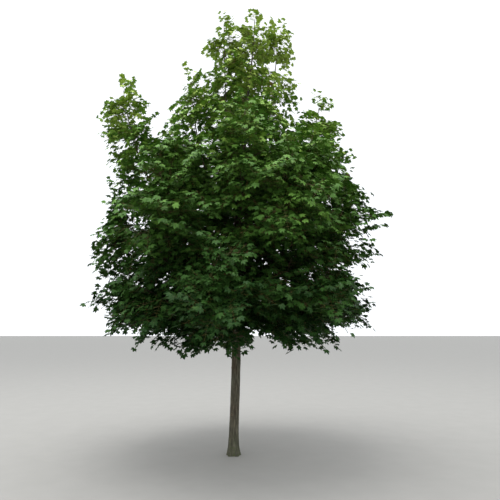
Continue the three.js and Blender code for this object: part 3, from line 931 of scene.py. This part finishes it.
def leaves_object(name, leaves, materials):
    """Leaves as one mesh, with a map that lays each leaf's blade out flat."""
    forms = LEAF_FORMS[[leaf.form for leaf in leaves]]
    axes = np.array([(leaf.across, leaf.along, leaf.facing) for leaf in leaves])
    axes *= np.array([leaf.size for leaf in leaves])[:, None, None]
    corners = np.array([leaf.base for leaf in leaves])[:, None] + forms @ axes
    shape = Shape()
    first = np.arange(len(leaves))[:, None, None] * forms.shape[1]
    shape.add(corners.reshape(-1, 3), (LEAF_FACES[None] + first).reshape(-1, 3))
    shape.face_materials = np.repeat([leaf.tone for leaf in leaves], len(LEAF_FACES)).tolist()
    made = shape.to_object(name, materials)
    layer = made.data.uv_layers.new(name="blade")
    corner_of_loop = np.zeros(len(made.data.loops), dtype=np.int32)
    made.data.loops.foreach_get("vertex_index", corner_of_loop)
    flat = forms[:, :, :2].reshape(-1, 2)
    layer.data.foreach_set("uv", flat[corner_of_loop].ravel().astype(np.float32))
    return made


def add_stalks(shape, leaves):
    """The leaf stalks from shoot to blade, each a pair of narrow triangles that cross."""
    starts = np.array([leaf.start for leaf in leaves])[:, None]
    bases = np.array([leaf.base for leaf in leaves])[:, None]
    across = np.array([leaf.across for leaf in leaves])[:, None]
    facing = np.array([leaf.facing for leaf in leaves])[:, None]
    foot = [starts + STALK_RADIUS * side for side in (across, -across, facing, -facing)]
    corners = np.concatenate([*foot, bases], axis=1)
    first = np.arange(len(leaves))[:, None, None] * corners.shape[1]
    faces = np.array([(0, 1, 4), (2, 3, 4)])[None] + first
    shape.add(corners.reshape(-1, 3), faces.reshape(-1, 3), STALK)


# Materials.


def colour(text):
    """The linear colour of a screen colour such as #80993a."""
    values = [int(text[n : n + 2], 16) / 255 for n in (1, 3, 5)]
    return (*[v / 12.92 if v < 0.04045 else ((v + 0.055) / 1.055) ** 2.4 for v in values], 1)


BLACK = (0, 0, 0, 1)
WHITE = (1, 1, 1, 1)

# Each noise is given by its scale, its detail and, for some, its roughness. Each roughness is given by how
# much it grows with a noise and its value without it, and each bump by its strength and its depth.
VEIN_WIDTH = 0.022
VEIN_COLOUR = colour("#8aa05a")
VEIN_SHARE = 0.35
LEAF_MOTTLE = (24, 2)
MOTTLE_STOPS = ((0.3, (0.82, 0.84, 0.8, 1)), (0.7, (1.14, 1.12, 1.16, 1)))
LEAF_GRAIN = (160, 3)
LEAF_GRAIN_SHARE = 0.6
LEAF_ROUGHNESS = (0.3, 0.4)
LEAF_SPECULAR = 0.17
LEAF_BUMP = (0.35, 0.0015)

TRUNK_STRETCH = (1, 1, 0.14)
BOUGH_STRETCH = (1, 1, 0.4)
PATCH_STRETCH = (1, 1, 0.35)
BARK_GRAIN = (55, 5, 0.62)
BARK_FINE_GRAIN = (170, 4, 0.65)
FINE_GRAIN_SHARE = 0.5
BARK_PATCHES = (7, 3)
PATCH_STOPS = ((0.36, BLACK), (0.62, WHITE))
BROWN_BARK = ((0.25, colour("#221914")), (0.5, colour("#4a3c30")), (0.72, colour("#6b5b49")))
GREY_BARK = ((0.25, colour("#292921")), (0.5, colour("#555447")), (0.72, colour("#787764")))
BARK_ROUGHNESS = (-0.15, 0.95)
BARK_SPECULAR = 0.25
BARK_BUMP = (0.7, 0.004)
# The heights between which grey bark and moss set in, going down the trunk, and how much there is below.
FOOT_GREY = (1.15, 0.35, 0.75)
FOOT_MOSS = (0.3, 0.02, 0.8)
MOSS_COLOUR = colour("#4a5132")
MOSS_CLUMPS = (38, 4)
CLUMP_STOPS = ((0.42, BLACK), (0.6, WHITE))
# The ring and the core of a scar: the radii between which each one's colour grows inward, as shares of the
# scar's own, how much of it there is inside, and the colour.
SCAR_RIPPLES = (70, 4)
SCAR_RAGGED = 0.9
SCAR_COLOURS = ((1.1, 0.75, 0.4, colour("#7d6f5c")), (0.55, 0.25, 0.75, colour("#32281f")))

# Skins of the finer parts: name, darker and lighter colour, and least roughness.
TWIG_SKINS = (
    ("twig_bark", "#4a3b2e", "#75634f", 0.6),
    ("shoot_bark", "#5a4a2f", "#6f6a38", 0.5),
    ("stalk_skin", "#5d6b30", "#8a5c3c", 0.45),
)
TWIG_GRAIN = (90, 3)
TWIG_STOPS = (0.35, 0.65)
TWIG_ROUGHNESS_GROWTH = 0.2
TWIG_PORES = (420, 2)
TWIG_BUMP = (0.4, 0.001)

FLOOR_SPECKLE = (3, 2)
FLOOR_STOPS = ((0.3, colour("#a3a19c")), (0.7, colour("#a6a49f")))


class Nodes:
    """Short calls that add nodes to one material and link them."""

    def __init__(self, name):
        self.material = bpy.data.materials.new(name)
        self.material.use_nodes = True
        self.tree = self.material.node_tree
        self.shader = self.tree.nodes["Principled BSDF"]

    def add(self, kind, links=(), **values):
        node = self.tree.nodes.new(kind)
        for key, value in values.items():
            setattr(node, key, value)
        for socket, source in dict(links).items():
            if isinstance(source, bpy.types.NodeSocket):
                self.tree.links.new(source, node.inputs[socket])
            else:
                node.inputs[socket].default_value = source
        return node

    def link(self, source, socket):
        self.tree.links.new(source, self.shader.inputs[socket])

    def place(self, stretch=(1, 1, 1)):
        """Places in the object's own frame, squeezed along an axis where stretch is below 1."""
        coordinates = self.add("ShaderNodeTexCoord")
        mapping = self.add("ShaderNodeMapping", {"Vector": coordinates.outputs["Object"], "Scale": stretch})
        return mapping.outputs["Vector"]

    def noise(self, place, scale, detail, roughness=0.55):
        links = {"Vector": place, "Scale": scale, "Detail": detail, "Roughness": roughness}
        return self.add("ShaderNodeTexNoise", links).outputs["Fac"]

    def ramp(self, factor, stops):
        node = self.add("ShaderNodeValToRGB", {"Fac": factor})
        elements = node.color_ramp.elements
        while len(elements) < len(stops):
            elements.new(0.5)
        for element, (place, value) in zip(elements, stops):
            element.position = place
            element.color = value
        return node.outputs["Color"]

    def mix(self, factor, first, second, blend="MIX"):
        links = {0: factor, 6: first, 7: second}
        return self.add("ShaderNodeMix", links, data_type="RGBA", blend_type=blend).outputs[2]

    def math(self, operation, first, second=0.0, third=0.0):
        return self.add("ShaderNodeMath", {0: first, 1: second, 2: third}, operation=operation).outputs[0]

    def fade(self, value, start, end, most):
        """0 where the value is at start, growing to most at end."""
        links = {"Value": value, "From Min": start, "From Max": end, "To Min": 0.0, "To Max": most}
        return self.add("ShaderNodeMapRange", links).outputs["Result"]

    def bump(self, height, strength, distance):
        links = {"Height": height, "Strength": strength, "Distance": distance}
        self.link(self.add("ShaderNodeBump", links).outputs["Normal"], "Normal")


def leaf_material(name, base):
    """Waxy green blade with paler veins that run to the five lobes, and slight mottling."""
    nodes = Nodes(name)
    blade = nodes.add("ShaderNodeUVMap", uv_map="blade").outputs["UV"]
    parts = nodes.add("ShaderNodeSeparateXYZ", {"Vector": blade})
    x, y = parts.outputs["X"], parts.outputs["Y"]
    angle = nodes.math("ARCTAN2", x, y)
    step = math.radians(VEIN_STEP)
    off_vein = nodes.math("ABSOLUTE", nodes.math("WRAP", angle, step / 2, -step / 2))
    from_stalk = nodes.add("ShaderNodeVectorMath", {0: blade}, operation="LENGTH").outputs["Value"]
    away = nodes.math("MULTIPLY", off_vein, from_stalk)
    vein = nodes.math("SUBTRACT", 1.0, nodes.math("DIVIDE", away, VEIN_WIDTH))
    vein = nodes.add("ShaderNodeClamp", {"Value": vein}).outputs[0]
    mottle = nodes.noise(nodes.place(), *LEAF_MOTTLE)
    mottled = nodes.mix(1.0, colour(base), nodes.ramp(mottle, MOTTLE_STOPS), "MULTIPLY")
    nodes.link(nodes.mix(nodes.math("MULTIPLY", vein, VEIN_SHARE), mottled, VEIN_COLOUR), "Base Color")
    nodes.link(nodes.math("MULTIPLY_ADD", mottle, *LEAF_ROUGHNESS), "Roughness")
    nodes.shader.inputs["Specular IOR Level"].default_value = LEAF_SPECULAR
    grain = nodes.math("MULTIPLY", nodes.noise(nodes.place(), *LEAF_GRAIN), LEAF_GRAIN_SHARE)
    nodes.bump(nodes.math("ADD", vein, grain), *LEAF_BUMP)
    return nodes.material


def bark_material(name, stretch, foot=False):
    """Smooth young bark: grey-brown with a reddish cast, and greener at the foot, with moss and scars."""
    nodes = Nodes(name)
    grain = nodes.noise(nodes.place(stretch), *BARK_GRAIN)
    patches = nodes.noise(nodes.place(PATCH_STRETCH), *BARK_PATCHES)
    brown = nodes.ramp(grain, BROWN_BARK)
    grey = nodes.ramp(grain, GREY_BARK)
    bark = nodes.mix(nodes.ramp(patches, PATCH_STOPS), brown, grey)
    if foot:
        bark = foot_colours(nodes, bark, grey)
    nodes.link(bark, "Base Color")
    nodes.link(nodes.math("MULTIPLY_ADD", grain, *BARK_ROUGHNESS), "Roughness")
    nodes.shader.inputs["Specular IOR Level"].default_value = BARK_SPECULAR
    fine = nodes.math("MULTIPLY", nodes.noise(nodes.place(stretch), *BARK_FINE_GRAIN), FINE_GRAIN_SHARE)
    nodes.bump(nodes.math("ADD", grain, fine), *BARK_BUMP)
    return nodes.material


def foot_colours(nodes, bark, grey):
    """The trunk's bark, greyer and mossy towards the ground, and with the scars in their own colours."""
    height = nodes.add("ShaderNodeSeparateXYZ", {"Vector": nodes.place()}).outputs["Z"]
    bark = nodes.mix(nodes.fade(height, *FOOT_GREY), bark, grey)
    clumps = nodes.ramp(nodes.noise(nodes.place(), *MOSS_CLUMPS), CLUMP_STOPS)
    moss = nodes.math("MULTIPLY", nodes.fade(height, *FOOT_MOSS), clumps)
    bark = nodes.mix(moss, bark, MOSS_COLOUR)
    ripples = nodes.noise(nodes.place(), *SCAR_RIPPLES)
    ragged = nodes.math("MULTIPLY_ADD", ripples, SCAR_RAGGED, 1 - SCAR_RAGGED / 2)
    for scar_height, azimuth, size in SCARS:
        links = {0: nodes.place(), 1: tuple(scar_centre(scar_height, azimuth))}
        distance = nodes.add("ShaderNodeVectorMath", links, operation="DISTANCE").outputs["Value"]
        away = nodes.math("MULTIPLY", distance, ragged)
        for start, end, share, tint in SCAR_COLOURS:
            bark = nodes.mix(nodes.fade(away, size * start, size * end, share), bark, tint)
    return bark


def twig_material(name, dark, light, roughness):
    """Thin bark of this year's and last year's growth, with small pores."""
    nodes = Nodes(name)
    grain = nodes.noise(nodes.place(), *TWIG_GRAIN)
    stops = tuple(zip(TWIG_STOPS, (colour(dark), colour(light))))
    nodes.link(nodes.ramp(grain, stops), "Base Color")
    nodes.link(nodes.math("MULTIPLY_ADD", grain, TWIG_ROUGHNESS_GROWTH, roughness), "Roughness")
    nodes.bump(nodes.noise(nodes.place(), *TWIG_PORES), *TWIG_BUMP)
    return nodes.material


# The tree.


def side_of(limb):
    return "right" if limb.point(1).x > 0 else "left"


def hand_over(piece, slot, *solids):
    """Gives a piece its body and the solids that it stands for; its material slot is not used."""
    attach(piece, "root")
    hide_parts(*solids)


def build_tree():
    trunk_bark = bark_material("trunk_bark", TRUNK_STRETCH, foot=True)
    bough_bark = bark_material("bough_bark", BOUGH_STRETCH)
    skins = [bough_bark, *(twig_material(*skin) for skin in TWIG_SKINS)]
    # One leaf material for each tone, from painted shade to painted light, and one for the young leaves' own
    # colour.
    greens = [leaf_material(f"leaf_{name}", base) for name, base in LEAF_TONES_WITH_PAINTED_LIGHT.items()]

    hand_over(trunk_object([trunk_bark]), "bark", "trunk")
    for limb in LIMBS[:-1]:
        hand_over(bough_object(limb, [bough_bark]), "bark", f"bough_{limb.name}")
    for tier in TIERS:
        for side in SIDES:
            masses = [grow_mass(limb) for limb in LIMBS if (limb.tier, side_of(limb)) == (tier, side)]
            solids = [f"foliage_{mass.limb.name}" for mass in masses]
            leaves = [leaf for mass in masses for leaf in mass.leaves]
            twigs = Shape()
            for mass in masses:
                twigs.add_shape(mass.twigs)
            add_stalks(twigs, leaves)
            hand_over(leaves_object(f"leaves_{tier}_{side}", leaves, greens), "leaves", *solids)
            hand_over(twigs.to_object(f"twigs_{tier}_{side}", skins), "bark", *solids)


def build_stage():
    """A plain pale floor under soft light from above, and a little from the front."""
    bpy.ops.mesh.primitive_plane_add(size=FLOOR_SIZE)
    floor = bpy.context.object
    floor.name = "floor"
    nodes = Nodes("floor_plaster")
    speckle = nodes.noise(nodes.place(), *FLOOR_SPECKLE)
    nodes.link(nodes.ramp(speckle, FLOOR_STOPS), "Base Color")
    nodes.shader.inputs["Roughness"].default_value = FLOOR_ROUGHNESS
    floor.data.materials.append(nodes.material)
    floor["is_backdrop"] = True

    world = bpy.data.worlds.new("soft_sky")
    world.use_nodes = True
    background = world.node_tree.nodes["Background"]
    background.inputs["Color"].default_value = colour(SKY_COLOUR)
    background.inputs["Strength"].default_value = SKY_STRENGTH
    bpy.context.scene.world = world
    bpy.context.scene.view_settings.view_transform = "Standard"
    for name, place, size, power in AREA_LIGHTS:
        light = bpy.data.lights.new(name, "AREA")
        light.shape = "DISK"
        light.size = size
        light.energy = power
        lamp = bpy.data.objects.new(name, light)
        lamp.location = place
        lamp.rotation_euler = (Vector(LIGHT_AIM) - Vector(place)).to_track_quat("-Z", "Y").to_euler()
        bpy.context.scene.collection.objects.link(lamp)


def build_camera():
    """The photo's viewpoint: a standing person's eye, looking up a little."""
    data = bpy.data.cameras.new("camera")
    data.lens = CAMERA_LENS
    data.sensor_width = CAMERA_SENSOR
    camera = bpy.data.objects.new("camera", data)
    camera.location = CAMERA_PLACE
    camera.rotation_euler = (math.radians(90 + CAMERA_PITCH), 0, 0)
    bpy.context.scene.collection.objects.link(camera)
    bpy.context.scene.camera = camera


build_tree()
build_stage()
build_camera()

boxes = {"cad": CAD_BOX, "scene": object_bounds()}
{name: [list(corner) for corner in box] for name, box in boxes.items()}
